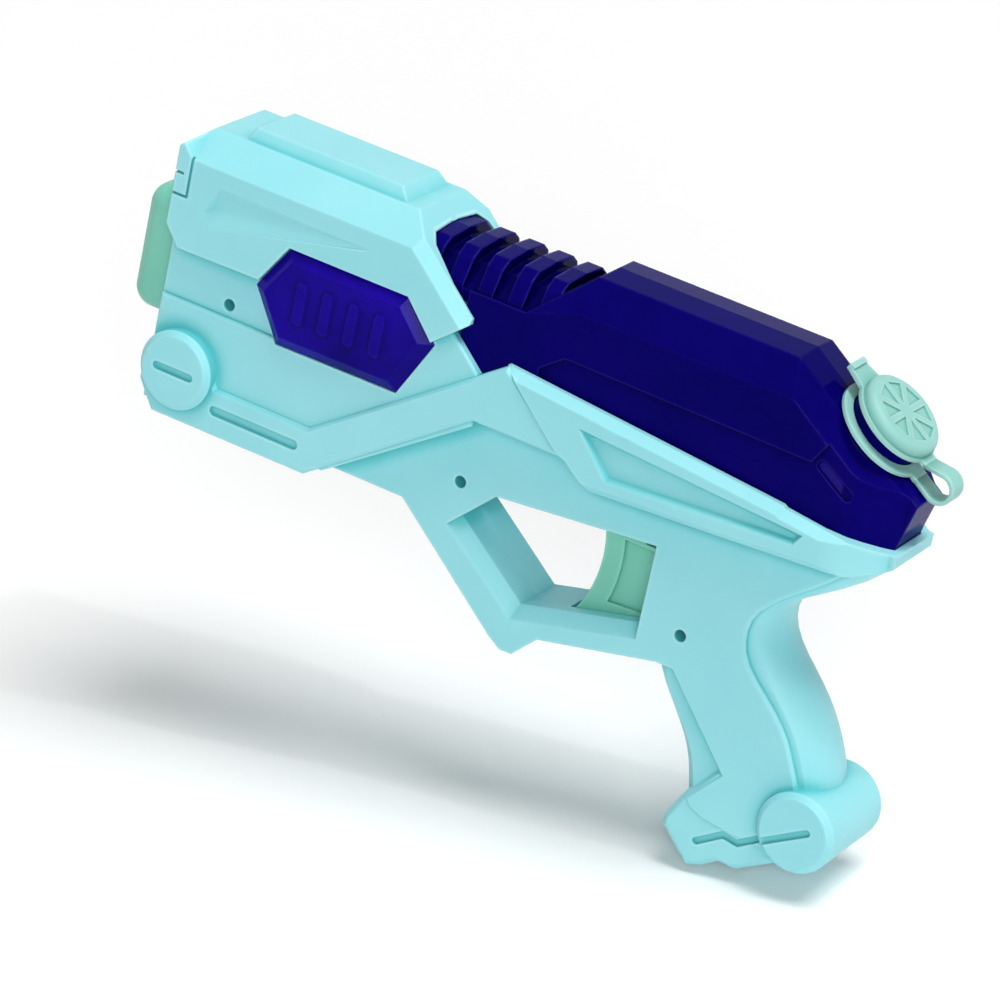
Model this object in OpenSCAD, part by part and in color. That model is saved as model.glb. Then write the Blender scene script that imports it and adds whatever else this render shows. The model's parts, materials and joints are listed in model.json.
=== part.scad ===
// Trigger-pump water squirter: two moulded shells around a water tank, a piston pump and a nozzle.
// X runs from the muzzle (-X) to the tail (+X), the parting plane is Y = 0 and Z is up.
// The left shell is on the -Y side. Side outlines are lists of [x, z] points, counter-clockwise.

/* [Shells] */
// Wall thickness of the shells
wall = 2.2; // [1.8:0.1:2.6]
// Half width over the trigger guard and the flat of the grip
guard_half = 16.5; // [16:0.25:18]
// Half width over the nose
nose_half = 24; // [23.5:0.25:25]
// Half width over the sunk strip under the cowl
strip_half = 22.8; // [22:0.2:23.4]
// Half width over the cowl
cowl_half = 26; // [25.5:0.25:28]
// Half width over the chin and the rising arm
band_half = 25.5; // [25:0.25:27]
// Half width over the wing beside the tank
wing_half = 26; // [25.5:0.25:28]
// Reach of the nose in front of the tank
nose_reach = 93; // [88:0.5:100]
// Height of the cowl roof
cowl_top = 189.5; // [187:0.5:191]
// Height of the raised rib on the cowl roof
cowl_rib = 4.3; // [2:0.1:6]
// Radius of the round boss on the nose
roundel_r = 14.5; // [12:0.5:15]
// How far the round boss stands out from the chin
roundel_rise = 4; // [2:0.5:5]
// Radius of the barrel at the foot of the grip
foot_r = 14.5; // [13:0.5:16]
// Half width of the barrel at the foot of the grip
foot_half = 20.5; // [19:0.5:23]
// Depth of the engraved slots
slot_depth = 1.2; // [0.6:0.1:1.6]

/* [Tank] */
// Half width of the tank
tank_half = 20.5; // [19.5:0.25:21]
// Wall thickness of the tank
tank_wall = 1.8; // [1.2:0.1:2.4]
// Height of the tank floor
tank_floor = 136; // [135:0.25:137]
// Number of grip ribs on the front of the tank
rib_count = 5; // [3:1:5]
// Distance from one grip rib to the next
rib_pitch = 11.6; // [9:0.1:11.6]
// Width of a grip rib
rib_w = 6; // [4:0.5:7]

/* [Filler] */
// Outer radius of the filler neck
neck_r = 14; // [12.5:0.25:15]
// Wall of the filler neck
neck_wall = 1.95; // [1.4:0.05:2.4]
// Height of the neck above the tank
neck_h = 6.4; // [5.5:0.1:8]
// Radius of the raised cap disc
cap_r = 15.5; // [14.5:0.25:16]
// Height of the raised cap disc above its flange
cap_h = 4.2; // [3:0.1:5]
// Depth of the plug in the neck
plug_depth = 4; // [2.5:0.25:4.5]
// Radial gap round the plug
plug_gap = 0.35; // [0.3:0.05:0.6]
// Width of the strap
strap_w = 8.5; // [7:0.5:11]
// Thickness of the strap and of the cap flange
strap_t = 1.6; // [1.2:0.1:2]
// Distance from the neck axis to the middle of the strap loop
strap_reach = 26.39; // [25.5:0.1:28]
// Radius of the strap loop
loop_r = 5; // [4.5:0.1:5.5]

/* [Trigger and pump] */
// Half width of the trigger
trigger_half = 7; // [6:0.25:7.5]
// Trigger travel
stroke = 12; // [8:0.5:12.5]
// Height of the pump axis
pump_z = 113; // [112.5:0.25:113.5]
// Radius of the pump bore
bore_r = 6.25; // [5.5:0.05:6.5]
// Wall of the pump cylinder
pump_wall = 1.8; // [1.4:0.1:2]
// Radius of the plunger rod
rod_r = 3; // [2.4:0.1:3.2]
// Length of the piston
piston_len = 6; // [5:0.5:7]
// Wire radius of the return spring
wire_r = 0.5; // [0.4:0.05:0.6]
// Number of spring turns
spring_turns = 7; // [5:1:8]
// Radius of the check balls
ball_r = 1.9; // [1.7:0.05:2]
// Lift of the check balls
ball_lift = 1.5; // [1:0.1:1.7]

/* [Outlet] */
// Outer radius of the delivery tube
tube_r = 2.2; // [2:0.1:2.4]
// Bore radius of the delivery tube
tube_bore = 1.3; // [1:0.05:1.5]
// Height of the nozzle axis
nozzle_z = 139.2; // [138.7:0.1:139.7]
// Radius of the nozzle orifice
orifice_r = 0.7; // [0.4:0.05:1.2]
// Radius of the nozzle body
nozzle_r = 5; // [4.5:0.1:6]
// Half width of the muzzle block
muzzle_half = 18.5; // [16:0.25:18.75]
// Height of the muzzle block
muzzle_h = 47; // [44:0.5:48]
// How far the muzzle block reaches in front of the nose
muzzle_reach = 17; // [14:0.5:20]

/* [Screws] */
// Radius of the screw shank
screw_r = 1.2; // [1:0.05:1.4]
// Radius of the screw head
head_r = 2; // [1.8:0.05:2.2]
// Radius of the screw bosses
boss_r = 3.8; // [3.4:0.1:4.2]

/* [Hidden] */
$fn = 64;

// Clearance between parts that only lie near each other, and running clearance of the sliding fits
clear = 0.3;
fit = 0.05;
far = 400;

aqua = [0.55, 0.84, 0.88];
navy = [0.10, 0.04, 0.42];
mint = [0.52, 0.80, 0.70];
pale = [0.65, 0.88, 0.83];
steel = [0.75, 0.76, 0.78];
clear_grey = [0.85, 0.88, 0.90];

// Side outlines of the shells
rib_zone_front = -48;
nose_front = rib_zone_front - nose_reach;
cowl_front = nose_front - 2;
cowl_low = 146.5;
cowl_edge = cowl_top - 10;
cowl_flat = cowl_half - 10.5;
cowl_rear = [-53, cowl_top];
cowl_tail = [-22, 162];
cowl_rear_deg = atan2(cowl_rear.y - cowl_tail.y, cowl_tail.x - cowl_rear.x);
cowl_rear_bevel = 4;
cowl_pts = [[cowl_front, 154], [nose_front + 4, cowl_low], [-36, cowl_low + 1.5], [-22, 160], cowl_tail,
    cowl_rear, [nose_front + 5, cowl_top], [cowl_front, cowl_top - 6.5]];
clip_rear = nose_front + 3.5;
clip_x = nose_front + 4;
clip_zs = [165.6, 173.5, 180];
clip_slot = 0.5;
clip_rise = 9;
cowl_rib_pts = [[nose_front + 17, cowl_top - 2], [-59, cowl_top - 2], [-59, cowl_top],
    [-63, cowl_top + cowl_rib], [nose_front + 19, cowl_top + cowl_rib], [nose_front + 17, cowl_top]];
strip_pts = [[nose_front, 120], [-88, 120], [-88, 152], [nose_front, 152]];
nose_pts = [[nose_front, 88], [-66, 88], [-13, 126], [-15, 144.5], [-30, 158], [-60, 148], [-88, 128],
    [nose_front, 128]];
band_pts = [[cowl_front, 94.2], [nose_front + 4.7, 84.2], [-72.5, 84.5], [-13, 128.3], [24, 128.3], [-4, 152],
    [-73.4, 101.8], [nose_front + 29, 101.8], [nose_front + 23, 112], [nose_front + 2, 111.7],
    [cowl_front, 105.6]];
tail_x = 143;
wing_pts = [[20, 129], [24, 127.9], [34, 120.1], [78, 122.8], [124, 126.2], [132, 127.2],
    [139, 129.6], [tail_x, 132.4], [tail_x, 137], [120.5, 140], [104.5, 141.9], [103.2, 142.7], [-5, 152]];
wing_bevels = [0.6, 0.6, 3, 3, 3, 2.6, 1.6, 0.8, 3, 3, 3, 3, 0.6];
wing_recess = [[27, 141.5], [40, 126.8], [111, 132.2], [113.8, 136.6]];
wing_recess_depth = 2;
guard_pts = [[-66, 87.5], [-37, 87.5], [6.5, 51.3], [11.5, 48.2], [16.2, 48.4], [24.5, 57.5], [69, 67.8],
    [88, 67.8], [88, 128], [118, 134], [118, 140], [-14, 140], [-66, 100]];
window_pts = [[-104.6, 144.3], [-93, 126.3], [-44, 126.8], [-33.2, 148.7], [-45.7, 162.2], [-93.5, 162.2]];
bump_first = -84.9;
bump_pitch = 10.4;
bump_zs = [139.5, 150.7];
bump_half = 2.8;
bump_rise = 0.9;
roundel_at = [nose_front + 13.2, 103.6];
roundel_slot = [6.8, 0];
roundel_slot_half = 1.5;
chin_slot = [[nose_front + 30, 93.8], [-78, 93.8]];
chin_slot_half = 1.8;

// Arrow-shaped hollow in the cowl: outline at the face, and points of its floor with their depths
arrow_pts = [[nose_front + 14.5, 157.4], [-62, 173], [nose_front + 16.8, 173.4], [nose_front + 12, 163.4]];
arrow_floor = [[nose_front + 15, 158.6], [-66, 171.6], [nose_front + 19.3, 170.6], [nose_front + 14.8, 165.4]];
arrow_depths = [0.05, 0.05, 1.3, 1.3];

// Hollow spaces inside the shells; the pump's own end is added where the pump is worked out
front_space_pts = [[nose_front + wall, 110], [nose_front + 10, 90], [-74, 90], [-38, 116], [-36, 136],
    [-28, 150], [-44, 168], [-55, cowl_top - wall], [nose_front + 7, cowl_top - wall], [nose_front + wall, 176]];
foot_space_pts = [[92, 20], [100, 11], [118, 16], [130, 24], [132, 42], [112, 47], [99, 47]];
wing_space_pts = [[36, 124.5], [112, 129], [112, tank_floor - wall], [30, tank_floor - wall]];

// Trigger, its bay in the shells and the window round it
trigger_bay_pts = [[30, 67.6], [57, 68.2], [68, 71], [80, 73], [80, 116], [34, 116], [34, 80], [30, 80]];
trigger_low_pts = [[30, 68.6], [44.5, 70], [54, 72.5], [58.5, 76], [58.5, 102.5]];
trigger_panel = [[30, 76], [58.5, 78], [58.5, 101], [30, 101]];
trigger_neck = [36, 103];
pull_r = 45;
pull_at = [-7.5, 92];
pull_band = 7.5;

// Trigger window and the bevel along its front and lower edges
win_pts = [[-15, 88], [13.7, 65.5], [60, 77.4], [60, 108], [-2, 101.6]];
win_bevels = [4.7, 4.7, 0, 0, 0];
win_bevel_depth = 4.5;

// Grip: height, front, back and the rear edge of the side flat at hand-picked stations
grip_zs = [for (z = [16 : 4 : 128]) z];
grip_front_pts = [[16, 90], [24, 89.5], [41, 84.5], [67, 68], [72, 74], [128, 78]];
grip_back_pts = [[16, 138], [44, 138.5], [52, 136], [64, 129.5], [74, 122], [82.5, 113.5], [90, 108],
    [97, 106.5], [103, 108.5], [107, 113], [114, 123.5], [120, 131.5], [128, 139]];
grip_flat_pts = [[16, 128], [44, 130], [49, 127.6], [60.5, 121.5], [68, 115], [77.4, 104.7], [83.5, 100.3],
    [91, 98.8], [98, 100.3], [105, 105.8], [109, 110], [118, 121], [128, 131]];
grip_core_half = guard_half - 1.8;
grip_plate_front = [[73.3, 69.2], [101.4, 38.1], [90.8, 24.9], [93, 21.5], [98.6, 19.5], [110, 18], [126, 18]];
grip_plate_top = [[122, 131], [73.3, 131]];
foot_pts = [[84.4, 11], [96, 0], [101.3, 1.8], [107.5, 6.2], [114, 6], [126, 13.5], [136, 20], [130, 40],
    [100, 40], [90.5, 27], [84.4, 15]];
foot_at = [133.7, 30.5];
foot_step = 0.5;
zigzag_half = 1.3;
zigzag = [[98.5, 10.8], [107.5, 17.2], [113.3, 16.4], [122.6, 23], [138.5, 33]];

// Plan of the boat tail, as distance along X and how far each side draws in; it starts outside the sides
tail_plan = [[115, -1], [126, 1.6], [131, 4], [136.5, 7.4], [141, 11]];

// Water tank
slope_deg = 34.5;
tank_top = 190.3;
slope_top_x = 93;
tank_rear = 144.3;
tank_slope_end = tank_top - (tank_rear - slope_top_x) * tan(slope_deg);
tank_front = -26;
tank_heel = [140, tank_floor + 1];
tank_shoulder = [-4, 171];
tank_crest = [17, tank_top];

// Side outline of the tank; its front and rear run on past the roof, which is cut to its own section
past = 3;
tank_pts = [[tank_front, tank_floor], [tank_heel.x - 2, tank_floor], tank_heel,
    tank_heel + past * ([tank_rear, tank_slope_end] - tank_heel),
    tank_shoulder + past * (tank_crest - tank_shoulder), tank_shoulder, [tank_front, tank_shoulder.y]];

// Bevels of the roof: width in Y, drop of the flat, and drop at the side on the level part and on the slope
roof_bevel = 8.5;
roof_drop = 1;
side_drop = 12.3;
slope_drop = 7.8;
facet_x = 16;
function tank_cross(base, drop, top) = let (crease = tank_half - roof_bevel)
    [[-tank_half, base], [tank_half, base], [tank_half, top - drop], [crease, top - roof_drop], [0, top],
        [-crease, top - roof_drop], [-tank_half, top - drop]];
rib_base_half = tank_half - 1.5;
rib_base_cross = [[-rib_base_half, 166], [rib_base_half, 166], [rib_base_half, 170], [12, 178.5], [0, 180.3],
    [-12, 178.5], [-rib_base_half, 170]];
rib_top = 183.8;
rib_cross = [[-rib_base_half, 167], [rib_base_half, 167], [rib_base_half + 0.5, 171.5], [15.8, 180],
    [11.8, rib_top - 0.8], [0, rib_top], [-11.8, rib_top - 0.8], [-15.8, 180], [-rib_base_half - 0.5, 171.5]];
rib_first = -43.8;
panel_pts = [[5.4, 120], [160, 120], [160, 178], [117.5, 176], [108.4, 159.8], [14, 160.6], [5.4, 154]];
panel_depth = 0.8;
pill_from = [112.5, 159.6];
pill_to = [123, 153];
pill_half = 2;

// Filler neck and cap: axial heights are measured from the tank slope
neck_along = 35;
neck_at = [slope_top_x + neck_along * cos(slope_deg), 0, tank_top - neck_along * sin(slope_deg)];
neck_in = neck_r - neck_wall;
neck_root = 4;
flange_low = neck_h + 0.2;
flange_r = cap_r + 0.9;
ring_low = 0.4;
arm_top = flange_low + strap_t / 2;
arm_low = ring_low + strap_t / 2;
loop_at = arm_low + loop_r;
ring_in = neck_r + 0.25;
ring_out = neck_r + 4.2;
cap_lug = flange_r + 1.6;
cap_round = 2.8;
tab_end = flange_r + 7;
tab_half = 4.7;
tab_root = 6.5;
tab_lip = 2.2;
ring_lug = ring_out + 1.8;

// Pump chain along X
rod_front = 44;
trigger_back = 52;
collar_front = trigger_back + stroke + 1;
collar_len = 4;
piston_front = collar_front + collar_len;
piston_face = piston_front + piston_len;
pump_dead = 15;
pump_end = piston_face + stroke + pump_dead;
pump_r = bore_r + pump_wall;
pump_space_end = pump_end + pump_wall + 1;
pump_space_pts = [[-60, 90], [-22, 90], [-3, 104], [62.2, 110.8], [62.2, 78], [76, 74], [99, 46], [118, 46],
    [116, 60], [101, 74], [95.5, 88], [97, 100], [pump_space_end, 105], [pump_space_end, tank_floor - wall],
    [-50, tank_floor - wall], [-50, 105]];
outlet_x = pump_end - 13;
inlet_x = pump_end - 4.5;
seal_groove = 1.6;
seal_w = 2.2;

// Valve chambers above the pump
chamber_r = ball_r + 0.7;
stub_r = chamber_r + 1.2;
chamber_floor = pump_z + bore_r + 2;
port_r = 1;
seat_r = 1.1;
outlet_ball_z = chamber_floor + sqrt(ball_r * ball_r - port_r * port_r) + 0.02;
outlet_stop = outlet_ball_z + ball_lift + ball_r + 0.02;
inlet_ball_z = chamber_floor + ball_r + 0.02;
inlet_seat = inlet_ball_z + ball_lift + sqrt(ball_r * ball_r - seat_r * seat_r) + 0.02;
stub_top = max(outlet_stop, inlet_seat) + 1.1;
tube_z = stub_top + tube_r + 0.3;
spigot_r = 2.4;
grommet_r = 4.6;

// Delivery tube: straight under the tank, then an S-bend up to the nozzle
tube_bend = 30;
tube_rise = nozzle_z - tube_z;
tube_deg = acos(1 - tube_rise / (2 * tube_bend));
tube_back = outlet_x - 6;
bend_back = -62;
bend_front = bend_back - 2 * tube_bend * sin(tube_deg);
nozzle_back = nose_front + 23;
nozzle_socket = 8;
muzzle_front = nose_front - muzzle_reach;
muzzle_round = 8;

// Shift that puts the middle of the length at X = 0
strap_back = neck_at.x + strap_reach * cos(slope_deg) + loop_at * sin(slope_deg) + loop_r + strap_t / 2;
frame_x = -(muzzle_front + strap_back) / 2;

screw_points = [[nose_front + 26.8, 132.5, strip_half], [-16.4, 101.5, guard_half], [75.8, 80.5, guard_half]];
head_seat = 6;
screw_tip = 8;

function unit(v) = v / norm(v);
function inward(a, b) = let (u = unit(b - a)) [-u.y, u.x];

// Outline moved inwards: each edge by its own distance, or all edges by one number
function edge_inset(d, i) = is_list(d) ? d[i] : d;
function inset(points, d) = let (n = len(points)) [for (i = [0 : n - 1]) let (
    before = points[(i + n - 1) % n], here = points[i], after = points[(i + 1) % n],
    p = inward(before, here), q = inward(here, after),
    dp = edge_inset(d, (i + n - 1) % n), dq = edge_inset(d, i), det = p.x * q.y - p.y * q.x)
    here + (abs(det) < 0.01 ? dq * q : [(dp * q.y - dq * p.y) / det, (dq * p.x - dp * q.x) / det])];

// Smooth value at t through hand-picked [t, value] pairs
function span(t, pts, i = 0) = i >= len(pts) - 2 || t < pts[i + 1][0] ? i : span(t, pts, i + 1);
function slope_at(pts, i) = let (a = max(i - 1, 0), b = min(i + 1, len(pts) - 1))
    (pts[b][1] - pts[a][1]) / (pts[b][0] - pts[a][0]);
function smooth(t, pts) = let (i = span(t, pts), w = pts[i + 1][0] - pts[i][0],
    s = min(max((t - pts[i][0]) / w, 0), 1), s2 = s * s, s3 = s2 * s)
    (2 * s3 - 3 * s2 + 1) * pts[i][1] + (s3 - 2 * s2 + s) * w * slope_at(pts, i)
    + (3 * s2 - 2 * s3) * pts[i + 1][1] + (s3 - s2) * w * slope_at(pts, i + 1);

// Triangles of a counter-clockwise outline, taken off one ear at a time
function turn(a, b, c) = (b.x - a.x) * (c.y - a.y) - (b.y - a.y) * (c.x - a.x);
function holds(a, b, c, p) = turn(a, b, p) >= 0 && turn(b, c, p) >= 0 && turn(c, a, p) >= 0;
function is_ear(p, u, v, w, ids) = turn(p[u], p[v], p[w]) > 0.001 && len([for (k = ids)
    if (k != u && k != v && k != w && holds(p[u], p[v], p[w], p[k])) k]) == 0;
function find_ear(p, ids, i = 0) = let (n = len(ids))
    i >= n - 1 || is_ear(p, ids[(i + n - 1) % n], ids[i], ids[(i + 1) % n], ids) ? i : find_ear(p, ids, i + 1);
function ears(p, ids) = let (n = len(ids), i = find_ear(p, ids)) n < 3 ? [] :
    concat([[ids[(i + n - 1) % n], ids[i], ids[(i + 1) % n]]],
        ears(p, [for (k = [0 : n - 1]) if (k != i) ids[k]]));

// Prism of a side outline between two distances on the left side
module plate(points, from, to) {
    translate([0, -from, 0]) rotate([90, 0, 0]) linear_extrude(to - from) polygon(points);
}

// Prism of a side outline across the whole width
module slab(points, half) {
    plate(points, -half, half);
}

// Prism of a [y, z] section along X
module along(points, from, to) {
    translate([from, 0, 0]) rotate([90, 0, 90]) linear_extrude(to - from) polygon(points);
}

// Solid through rings of equal count; the end faces are cut into triangles in their own plane
module loft(rings, first, last) {
    n = len(rings[0]);
    m = len(rings);
    polyhedron([for (r = rings) each r], concat(
        ears(first, [for (i = [0 : n - 1]) i]),
        [for (k = [0 : m - 2], i = [0 : n - 1]) [k * n + i, (k + 1) * n + i, k * n + (i + 1) % n]],
        [for (k = [0 : m - 2], i = [0 : n - 1])
            [(k + 1) * n + i, (k + 1) * n + (i + 1) % n, k * n + (i + 1) % n]],
        [for (t = ears(last, [for (i = [0 : n - 1]) i])) [for (i = [2, 1, 0]) (m - 1) * n + t[i]]]));
}

function at_y(points, y) = [for (p = points) [p.x, y, p.y]];

// Plate on the left side whose outer edges are bevelled
module bevel_plate(points, from, to, bevels, depth) {
    drawn = inset(points, bevels);
    loft([at_y(points, -from), at_y(points, depth - to), at_y(drawn, -to)], points, drawn);
}

// Cutter for a sunk field: full outline at the face, drawn in towards its floor
module pocket(points, face, depth, insets) {
    drawn = inset(points, insets);
    loft([at_y(drawn, depth - face), at_y(points, -face), at_y(points, -face - 1)], drawn, points);
}

// Straight groove with round ends, cut into the left face
module slot(a, b, half, face, depth) {
    d = b - a;
    translate([a.x, -face + depth, a.y]) rotate([90, -atan2(d.y, d.x), 0]) {
        cylinder(r = half, h = depth + 1);
        translate([norm(d), 0, 0]) cylinder(r = half, h = depth + 1);
        translate([0, -half, 0]) cube([norm(d), 2 * half, depth + 1]);
    }
}

module place() {
    translate([frame_x, 0, 0]) children();
}

module cylinder_y(at, r, from, to) {
    translate([at.x, -from, at.y]) rotate([90, 0, 0]) cylinder(r = r, h = to - from);
}

module cylinder_x(z, r, from, to) {
    translate([from, 0, z]) rotate([0, 90, 0]) cylinder(r = r, h = to - from);
}

module cylinder_z(x, r, from, to) {
    translate([x, 0, from]) cylinder(r = r, h = to - from);
}

// Disc on the left side with a bevelled rim
module bevel_disc(at, r, from, to, bevel) {
    translate([at.x, -from, at.y]) rotate([90, 0, 0]) rotate_extrude()
        polygon([[0, 0], [r, 0], [r, to - from - bevel], [r - bevel, to - from], [0, to - from]]);
}

// Places children on the filler axis: local Z leaves the tank, local X points down the slope
module on_neck() {
    translate(neck_at) rotate([0, slope_deg, 0]) children();
}

// Plan outline of the given half width, drawn in towards the tail
function plan(half) = let (side = [for (p = tail_plan) [p.x, half - p.y]], rear = half - tail_plan[4].y)
    concat([[-100, -side[0].y]], [for (p = side) [p.x, -p.y]], [[170, -rear], [170, rear]],
        [for (i = [4 : -1 : 0]) side[i]], [[-100, side[0].y]]);

// Section of the muzzle block grown by a margin, with rounded corners
function muzzle_section(grow) = let (y = muzzle_half - muzzle_round, z = muzzle_h / 2 - muzzle_round,
    r = muzzle_round + grow)
    [for (c = [[1, -1, -90], [1, 1, 0], [-1, 1, 90], [-1, -1, 180]], t = [0 : 15 : 90])
        [c.x * y + r * cos(c.z + t), nozzle_z + c.y * z + r * sin(c.z + t)]];

// Half section of the cowl whose roof bevel starts at the given height
function cowl_section(edge) = [[-cowl_half, 140], [0, 140], [0, cowl_top], [-cowl_flat, cowl_top],
    [-cowl_half, edge]];

module cowl() {
    difference() {
        intersection() {
            plate(cowl_pts, 0, cowl_half);
            union() {
                along(cowl_section(cowl_edge), clip_rear - 1, -10);
                loft([[for (p = cowl_section(cowl_edge + clip_rise)) [cowl_front - 2, p.x, p.y]],
                    [for (p = cowl_section(cowl_edge)) [clip_rear, p.x, p.y]]],
                    cowl_section(cowl_edge + clip_rise), cowl_section(cowl_edge));
            }
        }
        translate([cowl_rear.x, -cowl_half, cowl_rear.y]) rotate([0, cowl_rear_deg, 0])
            translate([-10, 0, -cowl_rear_bevel]) rotate([45, 0, 0]) translate([0, -8, 0]) cube([70, 20, 12]);
    }
    intersection() {
        plate(cowl_rib_pts, 0, 20);
        along([[-14, cowl_top - 2], [0, cowl_top - 2], [0, cowl_top + cowl_rib], [-12, cowl_top + cowl_rib],
            [-14, cowl_top]], nose_front, -50);
    }
}

// Rounded core of the grip, lofted through horizontal sections
function grip_section(z) = let (f = smooth(z, grip_front_pts), b = smooth(z, grip_back_pts),
    e = smooth(z, grip_flat_pts), h = grip_core_half)
    concat([[f, 0], [f, 4.5 - h], [f + 4, -h]], [for (t = [90 : -15 : 0]) [e + (b - e) * cos(t), -h * sin(t)]]);

function grip_rear_edge() = [for (z = [44 : 4 : 124]) [smooth(z, grip_flat_pts), z]];

module grip() {
    loft([for (z = grip_zs) [for (p = grip_section(z)) [p.x, p.y, z]]],
        grip_section(grip_zs[0]), grip_section(grip_zs[len(grip_zs) - 1]));
    bevel_plate(concat(grip_plate_front, grip_rear_edge(), grip_plate_top), 0, guard_half, 1, 1);
    bevel_plate(foot_pts, 0, guard_half - foot_step, 2, 2);
    bevel_disc(foot_at, foot_r, 0, foot_half, 2);
}

module shell_body() {
    cowl();
    plate(strip_pts, 0, strip_half);
    bevel_plate(nose_pts, 0, nose_half, 0.6, 0.6);
    bevel_plate(band_pts, 0, band_half, 1.2, 1.2);
    bevel_disc(roundel_at, roundel_r, 0, band_half + roundel_rise, 2);
    intersection() {
        bevel_plate(wing_pts, 0, wing_half, wing_bevels, 3);
        translate([0, 0, 100]) linear_extrude(80) polygon(plan(wing_half));
    }
    plate(guard_pts, 0, guard_half);
    grip();
}

// Space for the nozzle, the windows and the front of the tank
module front_space() {
    half = strip_half - wall;
    intersection() {
        plate(front_space_pts, -1, half);
        along([[-half, 80], [1, 80], [1, cowl_top - wall], [wall - cowl_flat, cowl_top - wall],
            [-half, cowl_edge + 1]], nose_front - 10, -20);
    }
}

// Space for the pump, the trigger and the delivery tube
module pump_space() {
    plate(pump_space_pts, -1, guard_half - wall);
    plate(wing_space_pts, guard_half - wall - 1, tank_half + clear + 1);
}

// Hollow foot of the grip
module foot_space() {
    plate(foot_space_pts, -1, grip_core_half - wall);
}

// Bay that the tank stands in, open at the top behind the cowl
module tank_bay() {
    intersection() {
        plate([[tank_front - 2, tank_floor], [tank_heel.x - 2 + clear, tank_floor], tank_heel + [clear, 0],
            [tank_rear + clear, tank_slope_end], [tank_rear + clear, 210], [-10, 210],
            [-10, tank_shoulder.y + 1], [tank_front - 2, tank_shoulder.y + 1]], -1, tank_half + clear);
        translate([0, 0, 100]) linear_extrude(120) polygon(inset(plan(tank_half), -clear));
    }
    along([[-tank_half - clear, 165], [1, 165], [1, rib_top + clear], [-14, rib_top + clear - 0.8],
        [-18, 180.5], [-tank_half - clear, 171]], rib_zone_front - 2, -8);
}

module shell_cuts() {
    front_space();
    pump_space();
    foot_space();
    tank_bay();
    plate(win_pts, -1, guard_half + 1);
    pocket(inset(win_pts, -win_bevels), guard_half, win_bevel_depth, win_bevels);
    plate(trigger_bay_pts, -1, trigger_half + clear);
    plate(inset(window_pts, -clear), 10, 40);
    along(muzzle_section(clear), nose_front - 10, nose_front + wall + 1);
    pocket(wing_recess, wing_half, wing_recess_depth, 1.5);
    slot(chin_slot[0], chin_slot[1], chin_slot_half, band_half, slot_depth);
    slot(roundel_at - roundel_slot, roundel_at + roundel_slot, roundel_slot_half, band_half + roundel_rise,
        slot_depth);
    for (i = [0 : 2]) slot(zigzag[i], zigzag[i + 1], zigzag_half, guard_half - foot_step, slot_depth);
    slot(zigzag[3], zigzag[4], zigzag_half, foot_half, slot_depth);
    slot([clip_x, clip_zs[2]], [clip_x, clip_zs[0]], clip_slot, cowl_half, slot_depth);
    slot([clip_x, clip_zs[0]], [cowl_front - 3, clip_zs[0]], clip_slot, cowl_half, slot_depth);
    slot([clip_x - 3, clip_zs[1]], [cowl_front - 3, clip_zs[1]], clip_slot, cowl_half, slot_depth);
    loft([[for (i = [0 : 3]) [arrow_floor[i].x, arrow_depths[i] - cowl_half, arrow_floor[i].y]],
        at_y(arrow_pts, -cowl_half), at_y(arrow_pts, -cowl_half - 1)], arrow_floor, arrow_pts);
    cylinder_z(inlet_x, spigot_r + 0.6, tank_floor - wall - 1, tank_floor + 1);
}

// Ribs that carry the pump cylinder
module pump_cradle() {
    difference() {
        for (x = [collar_front + 6, pump_end - 2])
            translate([x, wall / 2 - guard_half, pump_z - pump_r - 2])
                cube([2, guard_half - wall / 2, pump_r + 2]);
        cylinder_x(pump_z, pump_r + fit, 0, far);
        translate([0, -3, pump_z - pump_r - 3]) cube([far, 4, pump_r + 4]);
    }
}

module half_shell() {
    difference() {
        shell_body();
        shell_cuts();
    }
    for (p = screw_points) cylinder_y(p, boss_r, 0, p.z - wall / 2);
    pump_cradle();
}

module left_shell() {
    color(aqua) difference() {
        half_shell();
        for (p = screw_points) {
            cylinder_y(p, screw_r + 0.15, -1, head_seat + 1);
            cylinder_y(p, head_r + 0.2, head_seat, p.z + 1);
        }
    }
}

module right_shell() {
    color(aqua) mirror([0, 1, 0]) difference() {
        half_shell();
        for (p = screw_points) cylinder_y(p, screw_r + 0.02, -1, screw_tip + 1);
    }
}

// Two pieces on opposite sides share one shape
module window_pane() {
    face = cowl_half + 1;
    seat = strip_half - wall - 0.02;
    difference() {
        union() {
            bevel_plate(window_pts, seat - 1, face, 4, 3.2);
            plate(inset(window_pts, -2), seat - 1.6, seat);
        }
        bevel_plate(inset(window_pts, 2), seat - 3, face - 2, 3, 2.4);
    }
    for (i = [0 : 3]) {
        x = bump_first + bump_pitch * i;
        slot_bump([x, bump_zs[0]], [x, bump_zs[1]], bump_half, face, bump_rise);
    }
}

// Raised bar with round ends on the left face
module slot_bump(a, b, half, face, rise) {
    for (p = [a, b]) bevel_disc(p, half, face - 1, face + rise, rise);
    plate([[a.x - half, a.y], [b.x + half, a.y], [b.x + half, b.y], [a.x - half, b.y]], face - 1, face + 0.01);
    translate([0, 0, a.y]) linear_extrude(b.y - a.y) polygon([[a.x - half, -face + 1], [a.x - half, -face],
        [a.x - half + rise, -face - rise], [a.x + half - rise, -face - rise], [a.x + half, -face],
        [a.x + half, -face + 1]]);
}

module left_window() {
    color(navy) window_pane();
}

module right_window() {
    color(navy) mirror([0, 1, 0]) window_pane();
}

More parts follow.
